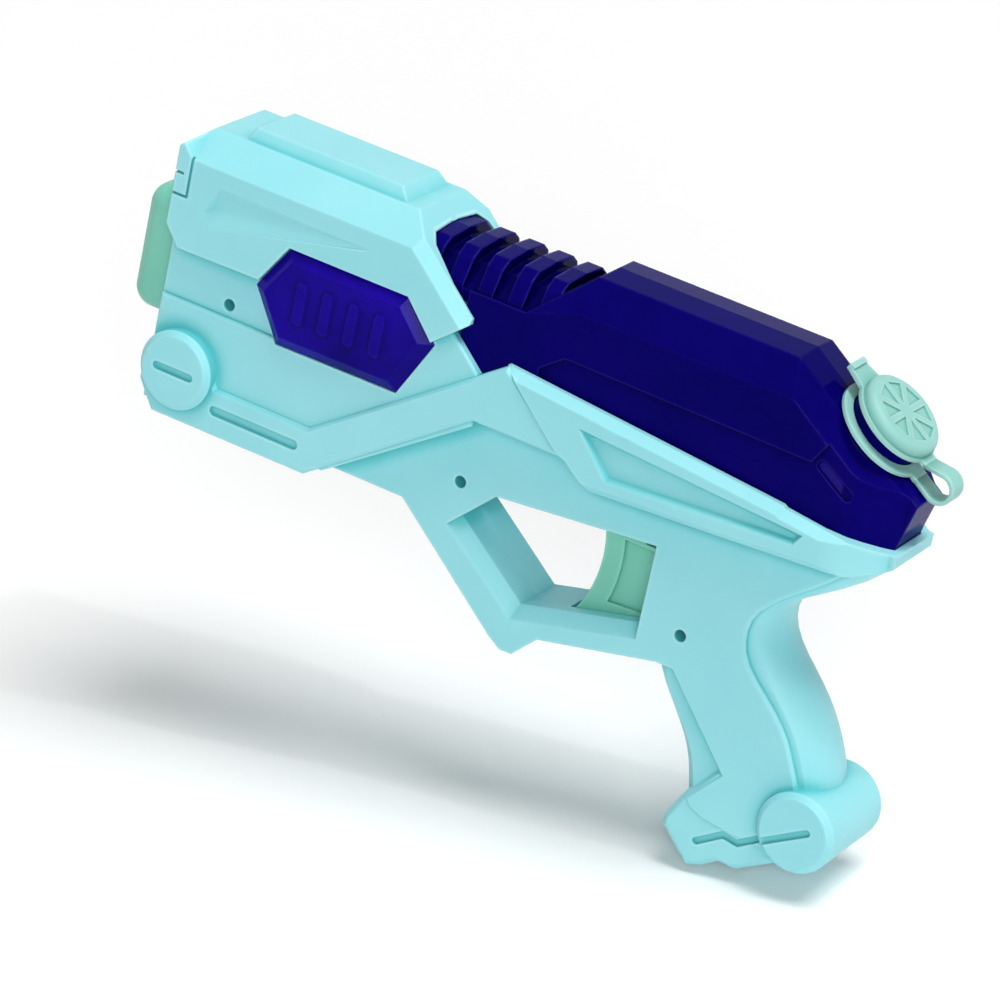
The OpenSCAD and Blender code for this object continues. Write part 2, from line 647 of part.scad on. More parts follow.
module muzzle() {
    y = muzzle_half - muzzle_round;
    z = muzzle_h / 2 - muzzle_round;
    flange = nose_front + wall + 0.02;
    color(mint) difference() {
        union() {
            hull() for (p = [[-y, -z], [y, -z], [y, z], [-y, z]]) translate([0, p.x, nozzle_z + p.y]) {
                translate([muzzle_front + muzzle_round, 0, 0]) sphere(r = muzzle_round, $fn = 32);
                translate([flange - 2, 0, 0]) rotate([0, 90, 0]) cylinder(r = muzzle_round, h = 3, $fn = 32);
            }
            along(muzzle_section(1.7), flange, flange + 2);
        }
        difference() {
            along(muzzle_section(-2.4), muzzle_front + 4, flange + 3);
            cylinder_x(nozzle_z, nozzle_r + 2.2, muzzle_front, flange + 2);
        }
        cylinder_x(nozzle_z, nozzle_r + fit, muzzle_front - 1, flange + 3);
    }
}

module nozzle() {
    flange = nose_front + wall + 2.04;
    color(pale) translate([0, 0, nozzle_z]) rotate([0, 90, 0]) translate([0, 0, muzzle_front]) rotate_extrude()
        polygon([[orifice_r, 3], [3, 0.5], [nozzle_r, 0.5], [nozzle_r, flange - muzzle_front],
            [nozzle_r + 1.5, flange - muzzle_front], [nozzle_r + 1.5, flange - muzzle_front + 2],
            [nozzle_r - 1, flange - muzzle_front + 4], [nozzle_r - 1, nozzle_back - muzzle_front],
            [tube_r + 0.03, nozzle_back - muzzle_front],
            [tube_r + 0.03, nozzle_back - nozzle_socket - muzzle_front],
            [tube_bore, nozzle_back - nozzle_socket - muzzle_front], [tube_bore, 10], [orifice_r, 6]]);
}

// Point of the rear slope: distance down the slope, Y, and height over the slope plane
function on_slope(run, p) = [slope_top_x + run * cos(slope_deg) + p.y * sin(slope_deg), p.x,
    tank_top - run * sin(slope_deg) + p.y * cos(slope_deg)];

// Cross-section of the tank, running level and then bent down along the rear slope
module tank_roof(d) {
    level = inset(tank_cross(120, side_drop, tank_top), d);
    slope = inset(tank_cross(-70, slope_drop, 0), d);
    bend = [for (i = [0 : len(level) - 1])
        (tank_top - level[i].y + slope[i].y * cos(slope_deg)) / sin(slope_deg)];
    loft([[for (p = level) [-100, p.x, p.y]], [for (i = [0 : len(bend) - 1]) on_slope(bend[i], slope[i])],
        [for (p = slope) on_slope(100, p)]], level, slope);
}

// Cutter that leaves a slanting facet on the left front corner of the tank roof
module corner_facet(d) {
    foot = [tank_shoulder.x, -tank_half, tank_shoulder.y];
    low = [facet_x, -tank_half, tank_top - side_drop];
    high = [facet_x, roof_bevel - tank_half, tank_top - roof_drop];
    out = unit(cross(low - foot, high - foot));
    start = foot - 0.02 * (low - foot) - 0.02 * (high - foot) - d * out;
    face = [start, start + past * (low - foot), start + past * (high - foot)];
    loft([face, [for (p = face) p + 30 * out]], [[0, 0], [1, 0], [0, 1]], [[0, 0], [1, 0], [0, 1]]);
}

module tank_solid(d) {
    difference() {
        intersection() {
            slab(inset(tank_pts, d), tank_half - d + 1);
            tank_roof(d);
            translate([0, 0, 100]) linear_extrude(120) polygon(inset(plan(tank_half), d));
        }
        corner_facet(d);
        mirror([0, 1, 0]) corner_facet(d);
    }
    along(inset(rib_base_cross, d), rib_zone_front + d, 12);
    if (d == 0) for (i = [0 : rib_count - 1])
        along(rib_cross, rib_first + i * rib_pitch - rib_w / 2, rib_first + i * rib_pitch + rib_w / 2);
}

module tank_half_solid() {
    difference() {
        tank_solid(0);
        tank_solid(tank_wall);
        translate([-far / 2, 0, 0]) cube(far);
        plate(panel_pts, tank_half - panel_depth, tank_half + 1);
        slot(pill_from, pill_to, pill_half, tank_half - panel_depth, 0.7);
        on_neck() translate([0, 0, -neck_root - 4]) cylinder(r = neck_r + 0.02, h = neck_root + 10);
        cylinder_z(inlet_x, grommet_r - 1.2, tank_floor - 1, tank_floor + tank_wall + 1);
    }
}

module tank_left() {
    color(navy) tank_half_solid();
}

module tank_right() {
    color(navy) mirror([0, 1, 0]) tank_half_solid();
}

module tank_grommet() {
    low = tank_floor + 0.02;
    color(clear_grey) translate([inlet_x, 0, low]) rotate_extrude() polygon([[spigot_r + 0.02, 0],
        [grommet_r - 1.25, 0], [grommet_r - 1.25, tank_wall + 0.05], [grommet_r, tank_wall + 0.05],
        [grommet_r, tank_wall + 1.4], [spigot_r + 0.02, tank_wall + 1.8]]);
}

module filler_neck() {
    root = -neck_root - tank_wall;
    color(navy) on_neck() rotate_extrude() polygon([[neck_in, root], [neck_r, root],
        [neck_r, neck_h - 1.6], [neck_r + 0.6, neck_h - 1.2], [neck_r + 0.6, neck_h - 0.4], [neck_r, neck_h],
        [neck_in, neck_h]]);
}

module filler_cap() {
    plug_r = neck_in - plug_gap;
    disc_low = flange_low + strap_t;
    top = disc_low + cap_h;
    rim = [for (a = [0 : 15 : 90])
        [cap_r - cap_round * (1 - cos(a)), top - cap_round * (1 - sin(a))]];
    color(pale) on_neck() difference() {
        union() {
            rotate_extrude() polygon(concat([[0, flange_low - 0.01], [plug_r - 1.6, flange_low - 0.01],
                [plug_r - 1.6, neck_h - plug_depth], [plug_r - 0.6, neck_h - plug_depth],
                [plug_r, neck_h - plug_depth + 1], [plug_r, flange_low], [flange_r, flange_low],
                [flange_r, disc_low], [cap_r, disc_low]], rim, [[0, top]]));
            translate([0, -strap_w / 2, flange_low]) cube([cap_lug, strap_w, strap_t]);
            translate([0, 0, flange_low]) linear_extrude(strap_t) polygon([[-tab_end, -tab_half],
                [-tab_end, tab_half], [1 - flange_r, tab_root], [0, tab_root], [0, -tab_root],
                [1 - flange_r, -tab_root]]);
            translate([-tab_end, -tab_half, flange_low]) cube([tab_lip, 2 * tab_half, strap_t + 0.8]);
        }
        for (k = [0 : 7]) rotate([0, 0, 22.5 + 45 * k]) translate([0, 0, top - 0.6]) linear_extrude(2)
            polygon([[3.2, 0], [11.2, -3.2], [11.2, 3.2]]);
    }
}

// One edge of the strap loop as [along the slope, over it]: straight off the cap lug, round, back to the ring lug
loop_gap = strap_reach - cap_lug;
loop_rise = arm_top - loop_at;
loop_start = atan2(loop_rise, -loop_gap) - acos(loop_r / norm([loop_gap, loop_rise]));
function loop_edge(r) = let (a = loop_start, leave = [strap_reach + r * cos(a), loop_at + r * sin(a)],
    from = cap_lug + 0.02, arc = [for (k = [0 : 20]) a + (-90 - a) * k / 20])
    concat([[from, leave.y + (leave.x - from) / tan(a)]],
        [for (t = arc) [strap_reach + r * cos(t), loop_at + r * sin(t)]], [[ring_lug + 0.02, loop_at - r]]);

module cap_strap() {
    outer = loop_edge(loop_r + strap_t / 2);
    inner = loop_edge(loop_r - strap_t / 2);
    color(pale) on_neck() translate([0, strap_w / 2, 0]) rotate([90, 0, 0]) linear_extrude(strap_w)
        polygon(concat(outer, [for (i = [len(inner) - 1 : -1 : 0]) inner[i]]));
}

module strap_ring() {
    color(pale) on_neck() difference() {
        union() {
            translate([0, 0, ring_low]) cylinder(r = ring_out, h = strap_t);
            translate([0, -strap_w / 2, ring_low]) cube([ring_lug, strap_w, strap_t]);
        }
        translate([0, 0, ring_low - 1]) cylinder(r = ring_in, h = strap_t + 2);
    }
}

module trigger() {
    head = pump_z + rod_r + 3;
    tongue = trigger_low_pts[0].x;
    color(mint) difference() {
        slab(concat(trigger_low_pts, [[trigger_back, trigger_low_pts[4].y], [trigger_back, head],
            [trigger_neck.x, head], trigger_neck, [tongue, trigger_neck.y]]), trigger_half);
        cylinder_y(pull_at, pull_r, -20, 20);
        for (s = [0, 1]) mirror([0, s, 0]) difference() {
            plate(trigger_panel, trigger_half - 0.9, trigger_half + 1);
            cylinder_y(pull_at, pull_r + pull_band, 0, 20);
        }
        cylinder_x(pump_z, rod_r + 0.02, rod_front, 70);
    }
}

module plunger() {
    head = bore_r - 0.2;
    groove = piston_front + (piston_len - seal_w) / 2;
    color(clear_grey) translate([0, 0, pump_z]) rotate([0, 90, 0]) rotate_extrude()
        polygon([[0, rod_front], [rod_r, rod_front], [rod_r, piston_front + 0.05], [head, piston_front + 0.05],
            [head, groove], [head - seal_groove, groove], [head - seal_groove, groove + seal_w],
            [head, groove + seal_w], [head, piston_face], [0, piston_face]]);
}

module piston_seal() {
    low = bore_r - 0.2 - seal_groove + 0.02;
    middle = (low + bore_r - fit) / 2;
    half = (bore_r - fit - low) / 2;
    color([0.15, 0.15, 0.16]) translate([piston_front + piston_len / 2, 0, pump_z]) rotate([0, 90, 0])
        rotate_extrude() translate([middle, 0]) circle(r = half);
}

// Wire swept along a helix from the piston to the closed end of the pump
module return_spring() {
    mean_r = bore_r - wire_r - 0.5;
    from = piston_face + wire_r + 0.05;
    to = pump_end - wire_r - 0.05;
    steps = 14;
    count = spring_turns * steps;
    wire = [for (j = [0 : 5]) [cos(60 * j), sin(60 * j)]];
    color(steel) loft([for (k = [0 : count]) let (a = 360 * k / steps, x = from + (to - from) * k / count)
        [for (j = [0 : 5]) let (b = 60 * j, r = mean_r + wire_r * cos(b))
            [x - wire_r * sin(b), r * cos(a), pump_z + r * sin(a)]]], wire, wire);
}

module pump_cylinder() {
    color(clear_grey) difference() {
        union() {
            cylinder_x(pump_z, pump_r, collar_front + 2, pump_end + pump_wall);
            for (x = [outlet_x, inlet_x]) cylinder_z(x, stub_r, pump_z + bore_r + 0.3, stub_top);
        }
        cylinder_x(pump_z, bore_r, collar_front, pump_end);
        for (x = [outlet_x, inlet_x]) {
            cylinder_z(x, chamber_r, chamber_floor, stub_top + 1);
            cylinder_z(x, port_r, pump_z, chamber_floor + 1);
        }
        translate([inlet_x - 0.5, -chamber_r + 0.2, chamber_floor - 0.8]) cube([1, 2 * chamber_r - 0.4, 1.8]);
    }
}

module pump_collar() {
    color(pale) translate([0, 0, pump_z]) rotate([0, 90, 0]) rotate_extrude()
        polygon([[rod_r + fit, collar_front], [pump_r, collar_front], [pump_r, collar_front + 2],
            [bore_r - 0.02, collar_front + 2], [bore_r - 0.02, collar_front + collar_len],
            [rod_r + fit, collar_front + collar_len]]);
}

module inlet_fitting() {
    color(pale) translate([inlet_x, 0, 0]) rotate_extrude() polygon([[seat_r, inlet_seat],
        [chamber_r - 0.02, inlet_seat], [chamber_r - 0.02, stub_top + 0.02], [stub_r, stub_top + 0.02],
        [stub_r, stub_top + 1.2], [spigot_r, stub_top + 1.2], [spigot_r, tank_floor + tank_wall + 2.5],
        [seat_r, tank_floor + tank_wall + 2.5]]);
}

module inlet_ball() {
    color(steel) translate([inlet_x, 0, inlet_ball_z]) sphere(r = ball_r);
}

module outlet_fitting() {
    nipple_end = tube_back - 5;
    color(pale) difference() {
        union() {
            cylinder_z(outlet_x, chamber_r - 0.02, outlet_stop, stub_top + 1);
            cylinder_z(outlet_x, stub_r, stub_top + 0.02, tube_z + tube_r + 0.6);
            cylinder_x(tube_z, tube_r, tube_back, outlet_x);
            cylinder_x(tube_z, tube_bore - 0.02, nipple_end, outlet_x);
        }
        cylinder_z(outlet_x, 0.8, outlet_stop - 1, tube_z);
        cylinder_x(tube_z, 0.8, nipple_end - 1, outlet_x);
        translate([outlet_x - chamber_r, -0.4, outlet_stop - 1]) cube([2 * chamber_r, 0.8, 1.6]);
    }
}

module outlet_ball() {
    color(steel) translate([outlet_x, 0, outlet_ball_z]) sphere(r = ball_r);
}

// Middle line of the delivery tube as [x, z, bend angle], from the pump to the nozzle
tube_steps = 6;
function tube_path(extra) = concat([[tube_back - 0.05 + extra, tube_z, 0]],
    [for (k = [0 : tube_steps]) let (d = tube_deg * k / tube_steps)
        [bend_back - tube_bend * sin(d), tube_z + tube_bend * (1 - cos(d)), d]],
    [for (k = [tube_steps - 1 : -1 : 0]) let (d = tube_deg * k / tube_steps)
        [bend_front + tube_bend * sin(d), nozzle_z - tube_bend * (1 - cos(d)), d]],
    [[nozzle_back - nozzle_socket + 0.05 - extra, nozzle_z, 0]]);

module tube_sweep(r, extra) {
    around = [0 : 22.5 : 359];
    disc = [for (a = around) [cos(a), sin(a)]];
    loft([for (p = tube_path(extra)) [for (a = around)
        [p.x - r * sin(a) * sin(p.z), r * cos(a), p.y - r * sin(a) * cos(p.z)]]], disc, disc);
}

module delivery_tube() {
    color(clear_grey) difference() {
        tube_sweep(tube_r, 0);
        tube_sweep(tube_bore / cos(11.25), 1);
    }
}

module shell_screws() {
    color(steel) for (p = screw_points) {
        cylinder_y(p, screw_r, -screw_tip, head_seat);
        difference() {
            cylinder_y(p, head_r, head_seat, head_seat + 1.6);
            for (a = [0, 90]) translate([p.x, -head_seat - 0.8, p.y]) rotate([0, a, 0])
                translate([-1.2, -2, -0.25]) cube([2.4, 2, 0.5]);
        }
    }
}

place() left_shell();
place() right_shell();
place() muzzle();
place() nozzle();
place() left_window();
place() right_window();
place() tank_left();
place() tank_right();
place() tank_grommet();
place() filler_neck();
place() filler_cap();
place() cap_strap();
place() strap_ring();
place() trigger();
place() plunger();
place() piston_seal();
place() return_spring();
place() pump_cylinder();
place() pump_collar();
place() inlet_fitting();
place() inlet_ball();
place() outlet_fitting();
place() outlet_ball();
place() delivery_tube();
place() shell_screws();
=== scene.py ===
"""Looks of the water squirter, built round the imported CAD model."""

import json
import math

import bmesh
import bpy
from mathutils import Matrix, Vector


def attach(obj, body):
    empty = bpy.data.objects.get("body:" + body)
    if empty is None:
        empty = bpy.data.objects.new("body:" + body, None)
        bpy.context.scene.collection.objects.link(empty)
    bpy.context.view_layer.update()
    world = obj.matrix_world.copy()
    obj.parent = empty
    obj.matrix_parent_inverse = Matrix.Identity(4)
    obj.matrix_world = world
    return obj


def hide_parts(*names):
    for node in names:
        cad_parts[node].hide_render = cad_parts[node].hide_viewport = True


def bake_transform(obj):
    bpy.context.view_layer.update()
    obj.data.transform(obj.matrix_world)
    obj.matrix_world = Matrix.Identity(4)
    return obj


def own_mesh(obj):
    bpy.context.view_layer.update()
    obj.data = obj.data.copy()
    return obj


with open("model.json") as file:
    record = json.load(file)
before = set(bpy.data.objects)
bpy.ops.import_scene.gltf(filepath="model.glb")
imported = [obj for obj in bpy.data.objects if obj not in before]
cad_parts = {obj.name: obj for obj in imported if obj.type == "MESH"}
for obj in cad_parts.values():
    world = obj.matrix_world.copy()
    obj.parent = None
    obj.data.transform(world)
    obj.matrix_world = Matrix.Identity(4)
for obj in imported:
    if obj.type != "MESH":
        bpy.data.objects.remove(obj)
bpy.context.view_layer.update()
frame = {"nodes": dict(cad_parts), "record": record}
nodes = frame["nodes"]
scene = bpy.context.scene
scene.view_settings.view_transform = "Standard"

MM = 0.001

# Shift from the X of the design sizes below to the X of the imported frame
FRAME_X = 2.548 * MM


# Camera of the photograph
AZIMUTH = math.radians(25)
ELEVATION = math.radians(23.85)
ROLL = math.radians(12.3)
DISTANCE = 1.724
TARGET = Vector((FRAME_X - 8 * MM, 0, 93 * MM))
LENS_MM = 180
SENSOR_MM = 36
CLIP_NEAR = 0.05
CLIP_FAR = 50

right = Vector((math.cos(AZIMUTH), math.sin(AZIMUTH), 0))
level_up = Vector((
    -math.sin(AZIMUTH) * math.sin(ELEVATION),
    math.cos(AZIMUTH) * math.sin(ELEVATION),
    math.cos(ELEVATION),
))
back = right.cross(level_up)
image_right = math.cos(ROLL) * right + math.sin(ROLL) * level_up
image_up = -math.sin(ROLL) * right + math.cos(ROLL) * level_up

# The floor is level in the picture, so it leans with the roll of the camera
floor_up = (math.cos(ELEVATION) * image_up + math.sin(ELEVATION) * back).normalized()


def add_camera():
    data = bpy.data.cameras.new("photo_camera")
    data.lens = LENS_MM
    data.sensor_width = SENSOR_MM
    data.clip_start = CLIP_NEAR
    data.clip_end = CLIP_FAR
    camera = bpy.data.objects.new("photo_camera", data)
    scene.collection.objects.link(camera)
    axes = Matrix((image_right, image_up, back)).transposed().to_4x4()
    camera.matrix_world = Matrix.Translation(TARGET + back * DISTANCE) @ axes
    scene.camera = camera


# Shader nodes

# Usual range of a noise value
NOISE_LOW = 0.3
NOISE_HIGH = 0.7

SHELTER_SAMPLES = 4
BEVEL_SAMPLES = 6

# Distance from the parting line of two halves at which edge effects begin and are full
SEAM_CLEAR = (1.0 * MM, 1.6 * MM)

# Sockets of a mix node in its vector form
MIX_FACTOR = 0
MIX_FROM = 4
MIX_TO = 5
MIX_RESULT = 1


def blank_tree(owner):
    """Empty node tree of a material or world."""
    owner.use_nodes = True
    owner.node_tree.nodes.clear()
    return owner.node_tree


def new_material(name):
    material = bpy.data.materials.new(name)
    tree = blank_tree(material)
    output = tree.nodes.new("ShaderNodeOutputMaterial")
    shader = tree.nodes.new("ShaderNodeBsdfPrincipled")
    tree.links.new(shader.outputs["BSDF"], output.inputs["Surface"])
    return material, tree, shader


def noise(tree, scale, detail=3.0, rough=0.5):
    coords = tree.nodes.new("ShaderNodeTexCoord")
    node = tree.nodes.new("ShaderNodeTexNoise")
    node.inputs["Scale"].default_value = scale
    node.inputs["Detail"].default_value = detail
    node.inputs["Roughness"].default_value = rough
    tree.links.new(coords.outputs["Object"], node.inputs["Vector"])
    return node.outputs["Fac"]


def spread(tree, source, low, high, start=NOISE_LOW, end=NOISE_HIGH):
    """Value from low to high as the source goes from start to end."""
    node = tree.nodes.new("ShaderNodeMapRange")
    node.inputs["From Min"].default_value = start
    node.inputs["From Max"].default_value = end
    node.inputs["To Min"].default_value = low
    node.inputs["To Max"].default_value = high
    tree.links.new(source, node.inputs["Value"])
    return node.outputs["Result"]


def combine(tree, operation, first, second):
    node = tree.nodes.new("ShaderNodeMath")
    node.operation = operation
    tree.links.new(first, node.inputs[0])
    tree.links.new(second, node.inputs[1])
    return node.outputs[0]


def ramp(tree, source, stops):
    """Colour ramp; stops are (position, colour) from low to high."""
    node = tree.nodes.new("ShaderNodeValToRGB")
    elements = node.color_ramp.elements
    while len(elements) < len(stops):
        elements.new(0.5)
    for element, (position, colour) in zip(elements, stops):
        element.position = position
        element.color = (*colour, 1)
    tree.links.new(source, node.inputs["Fac"])
    return node.outputs["Color"]


def shelter(tree, distance, inside):
    """How open a point is within the distance: low in hollows or, from inside, at raised edges."""
    node = tree.nodes.new("ShaderNodeAmbientOcclusion")
    node.samples = SHELTER_SAMPLES
    node.inside = inside
    node.only_local = True
    node.inputs["Distance"].default_value = distance
    return node.outputs["AO"]


def off_seam(tree):
    """Nought at the parting line of the two halves, one away from it."""
    coords = tree.nodes.new("ShaderNodeTexCoord")
    split = tree.nodes.new("ShaderNodeSeparateXYZ")
    size = tree.nodes.new("ShaderNodeMath")
    size.operation = "ABSOLUTE"
    tree.links.new(coords.outputs["Object"], split.inputs["Vector"])
    tree.links.new(split.outputs["Y"], size.inputs[0])
    return spread(tree, size.outputs[0], 0.0, 1.0, *SEAM_CLEAR)


def rounded_normal(tree, radius, halves):
    """Normal that shades edges as if rounded by the radius, but not where two halves meet."""
    rounded = tree.nodes.new("ShaderNodeBevel")
    rounded.samples = BEVEL_SAMPLES
    rounded.inputs["Radius"].default_value = radius
    if not halves:
        return rounded.outputs["Normal"]
    plain = tree.nodes.new("ShaderNodeNewGeometry")
    mix = tree.nodes.new("ShaderNodeMix")
    mix.data_type = "VECTOR"
    tree.links.new(off_seam(tree), mix.inputs[MIX_FACTOR])
    tree.links.new(plain.outputs["Normal"], mix.inputs[MIX_FROM])
    tree.links.new(rounded.outputs["Normal"], mix.inputs[MIX_TO])
    return mix.outputs[MIX_RESULT]


def bump(tree, shader, height, strength, distance, edge, halves):
    """Surface grain, over rounded edges where the radius edge isn't nought."""
    node = tree.nodes.new("ShaderNodeBump")
    node.inputs["Strength"].default_value = strength
    node.inputs["Distance"].default_value = distance
    tree.links.new(height, node.inputs["Height"])
    if edge:
        tree.links.new(rounded_normal(tree, edge, halves), node.inputs["Normal"])
    tree.links.new(node.outputs["Normal"], shader.inputs["Normal"])


def uneven_gloss(tree, shader, source, rough, swing):
    spots = spread(tree, source, rough + swing[0], rough + swing[1])
    tree.links.new(spots, shader.inputs["Roughness"])


# Materials

# A tone of a half is the plain colour; flow marks, painted shade in hollows and painted highlight on
# raised edges shift it by these
FLOW_LOW = 0.44
FLOW_HIGH = 0.56
HOLLOW_SHADE_DROP = -0.45
DEEP_SHADE_DROP = -0.4
EDGE_HIGHLIGHT_LIFT = 0.42
TONE_STOPS = (0.05, FLOW_LOW, FLOW_HIGH, 0.95)

# How open a point is where the painted shade or highlight is full, and where it ends
HOLLOW_OPEN = (0.55, 0.97)
DEEP_OPEN = (0.45, 0.92)
EDGE_OPEN = (0.5, 0.95)

# Reach of the painted shade in hollows, in wide hollows such as the trigger guard, and of the painted
# highlight at raised edges
HOLLOW_REACH = 6 * MM
DEEP_REACH = 25 * MM
EDGE_REACH = 1.4 * MM
TANK_HOLLOW_REACH = 5 * MM
TANK_EDGE_REACH = 0.8 * MM

# Noise scales, in waves per metre
FLOW_SCALE = 28
WEAR_SCALE = 160
GRAIN_SCALE = 2600
TANK_FLOW_SCALE = 18
HAZE_SCALE = 90
RIPPLE_SCALE = 60
BRUSH_SCALE = 900

# Least and most change of the roughness
SATIN_SWING = (-0.05, 0.06)
TANK_SWING = (-0.04, 0.05)
METAL_SWING = (-0.06, 0.08)

GRAIN_DEPTH = 0.2 * MM
RIPPLE_DEPTH = 0.6 * MM
RIPPLE_STRENGTH = 0.05
PLASTIC_IOR = 1.5
SATIN_GLOSS = 0.4
GLOW_RADII = (0.4, 1.0, 0.9)
GLOW_DEPTH = 3 * MM


def flow_tone_with_painted_light(tree, flow, hollow, edge, halves, deep=0.0):
    """Tone of a moulded face: about a half on the flat, with painted shade in hollows and painted
    highlight on raised edges.
    """
    plain = spread(tree, flow, FLOW_LOW, FLOW_HIGH)
    # Painted shade: darker colour where nearby faces shut the point in, as in hollows
    painted_hollow_shade = spread(tree, shelter(tree, hollow, False), HOLLOW_SHADE_DROP, 0.0, *HOLLOW_OPEN)
    # Painted highlight: lighter colour at raised edges, left out at the parting line of the halves
    raised = spread(tree, shelter(tree, edge, True), EDGE_HIGHLIGHT_LIFT, 0.0, *EDGE_OPEN)
    if halves:
        raised = combine(tree, "MULTIPLY", raised, off_seam(tree))
    tone = combine(tree, "ADD", combine(tree, "ADD", plain, painted_hollow_shade), raised)
    if deep:
        # Painted shade in wide hollows such as the trigger guard
        painted_deep_shade = spread(tree, shelter(tree, deep, False), DEEP_SHADE_DROP, 0.0, *DEEP_OPEN)
        tone = combine(tree, "ADD", tone, painted_deep_shade)
    return tone


def moulded(name, tones, rough, grain=0.06, subsurface=0.0, edge=0.0, halves=False, deep=0.0):
    """Satin moulded plastic: flow marks, painted shade and highlight, fine grain, uneven gloss.

    tones are the colours of painted shade in hollows, of the two flow shades and of painted highlight on
    raised edges.
    """
    material, tree, shader = new_material(name)
    flow = noise(tree, FLOW_SCALE, 4)
    # With a round, the colour also gets painted shade in hollows and painted highlight on raised edges
    if edge:
        tone = flow_tone_with_painted_light(tree, flow, HOLLOW_REACH, EDGE_REACH, halves, deep)
    else:
        tone = spread(tree, flow, FLOW_LOW, FLOW_HIGH)
    stops = tuple(zip(TONE_STOPS, tones))
    tree.links.new(ramp(tree, tone, stops), shader.inputs["Base Color"])
    uneven_gloss(tree, shader, noise(tree, WEAR_SCALE, 5, 0.6), rough, SATIN_SWING)
    bump(tree, shader, noise(tree, GRAIN_SCALE, 2), grain, GRAIN_DEPTH, edge, halves)
    shader.inputs["IOR"].default_value = PLASTIC_IOR
    shader.inputs["Specular IOR Level"].default_value = SATIN_GLOSS
    if subsurface:
        shader.inputs["Subsurface Weight"].default_value = subsurface
        shader.inputs["Subsurface Radius"].default_value = GLOW_RADII
        shader.inputs["Subsurface Scale"].default_value = GLOW_DEPTH
    return material


def tinted(name, tones, rough, edge, gloss):
    """Deep tinted plastic: painted shade in hollows, painted highlight at raised edges, with a slightly
    wavy skin.
    """
    material, tree, shader = new_material(name)
    flow = noise(tree, TANK_FLOW_SCALE, 5, 0.6)
    tone = flow_tone_with_painted_light(tree, flow, TANK_HOLLOW_REACH, TANK_EDGE_REACH, True)
    stops = tuple(zip(TONE_STOPS, tones))
    tree.links.new(ramp(tree, tone, stops), shader.inputs["Base Color"])
    uneven_gloss(tree, shader, noise(tree, HAZE_SCALE, 4), rough, TANK_SWING)
    bump(tree, shader, noise(tree, RIPPLE_SCALE, 2), RIPPLE_STRENGTH, RIPPLE_DEPTH, edge, True)
    shader.inputs["IOR"].default_value = PLASTIC_IOR
    shader.inputs["Specular IOR Level"].default_value = gloss
    return material


def metal(name, low, high, rough):
    material, tree, shader = new_material(name)
    brushed = noise(tree, BRUSH_SCALE, 3)
    tone = ramp(tree, brushed, ((NOISE_LOW, low), (NOISE_HIGH, high)))
    tree.links.new(tone, shader.inputs["Base Color"])
    uneven_gloss(tree, shader, brushed, rough, METAL_SWING)
    shader.inputs["Metallic"].default_value = 1.0
    return material


# Each list holds the colour of painted shade in hollows, the two flow shades, and the colour of painted
# highlight on raised edges
AQUA = ((0.09, 0.55, 0.58), (0.29, 0.725, 0.79), (0.32, 0.755, 0.81), (0.43, 0.84, 0.88))
MINT = ((0.05, 0.36, 0.27), (0.17, 0.56, 0.43), (0.20, 0.60, 0.47), (0.30, 0.70, 0.57))
SOFT_MINT = ((0.13, 0.42, 0.36), (0.26, 0.57, 0.52), (0.30, 0.61, 0.56), (0.40, 0.70, 0.65))
VIOLET = ((0.0, 0.0, 0.03), (0.001, 0.0002, 0.10), (0.003, 0.0004, 0.15), (0.02, 0.012, 0.24))
# The window's two flow shades lie far apart: random mottling that also paints the glow of light through
# the tinted plastic
WINDOW_VIOLET = ((0.0, 0.0, 0.04), (0.0006, 0.0001, 0.10), (0.012, 0.0005, 0.34), (0.02, 0.01, 0.38))
WHITE = ((0.72, 0.75, 0.76), (0.74, 0.77, 0.78), (0.78, 0.80, 0.80), (0.80, 0.82, 0.82))
CLEAR = ((0.70, 0.74, 0.75), (0.72, 0.76, 0.77), (0.76, 0.79, 0.80), (0.78, 0.81, 0.82))
BLACK = ((0.018, 0.018, 0.019), (0.02, 0.02, 0.021), (0.028, 0.028, 0.029), (0.03, 0.03, 0.031))

materials = {
    "aqua_plastic": moulded("aqua_plastic", AQUA, 0.42, edge=0.9 * MM, halves=True, deep=DEEP_REACH),
    "mint_plastic": moulded("mint_plastic", MINT, 0.40, subsurface=0.15, edge=0.6 * MM),
    "cap_plastic": moulded("cap_plastic", SOFT_MINT, 0.45, subsurface=0.1, edge=0.4 * MM),
    "pale_plastic": moulded("pale_plastic", SOFT_MINT, 0.40, edge=0.4 * MM),
    "violet_plastic": tinted("violet_plastic", VIOLET, 0.09, 1.3 * MM, 0.02),
    "violet_window": tinted("violet_window", WINDOW_VIOLET, 0.09, 0.4 * MM, 0.05),
    "white_plastic": moulded("white_plastic", WHITE, 0.42),
    "tube_plastic": moulded("tube_plastic", CLEAR, 0.25),
    "seal_rubber": moulded("seal_rubber", BLACK, 0.6, grain=0.2),
    "spring_steel": metal("spring_steel", (0.55, 0.56, 0.58), (0.66, 0.67, 0.69), 0.28),
    "ball_steel": metal("ball_steel", (0.62, 0.63, 0.65), (0.70, 0.71, 0.73), 0.16),
    "screw_steel": metal("screw_steel", (0.66, 0.69, 0.70), (0.76, 0.78, 0.79), 0.48),
}


# Edges: the CAD faces are joined, and the sharp edges of some nodes get a small round

JOIN_DISTANCE = 0.002 * MM
FLAT_DEG = 0.6
ROUND_FROM_DEG = 27
ROUND_STEPS = 3
SHARP_DEG = 22

ROUND_WIDTHS = {
    "left_shell": 0.5 * MM,
    "right_shell": 0.5 * MM,
    "left_window": 0.35 * MM,
    "right_window": 0.35 * MM,
    "tank_left": 0.6 * MM,
    "tank_right": 0.6 * MM,
    "strap_ring": 0.2 * MM,
    "trigger": 0.5 * MM,
    "filler_neck": 0.2 * MM,
}


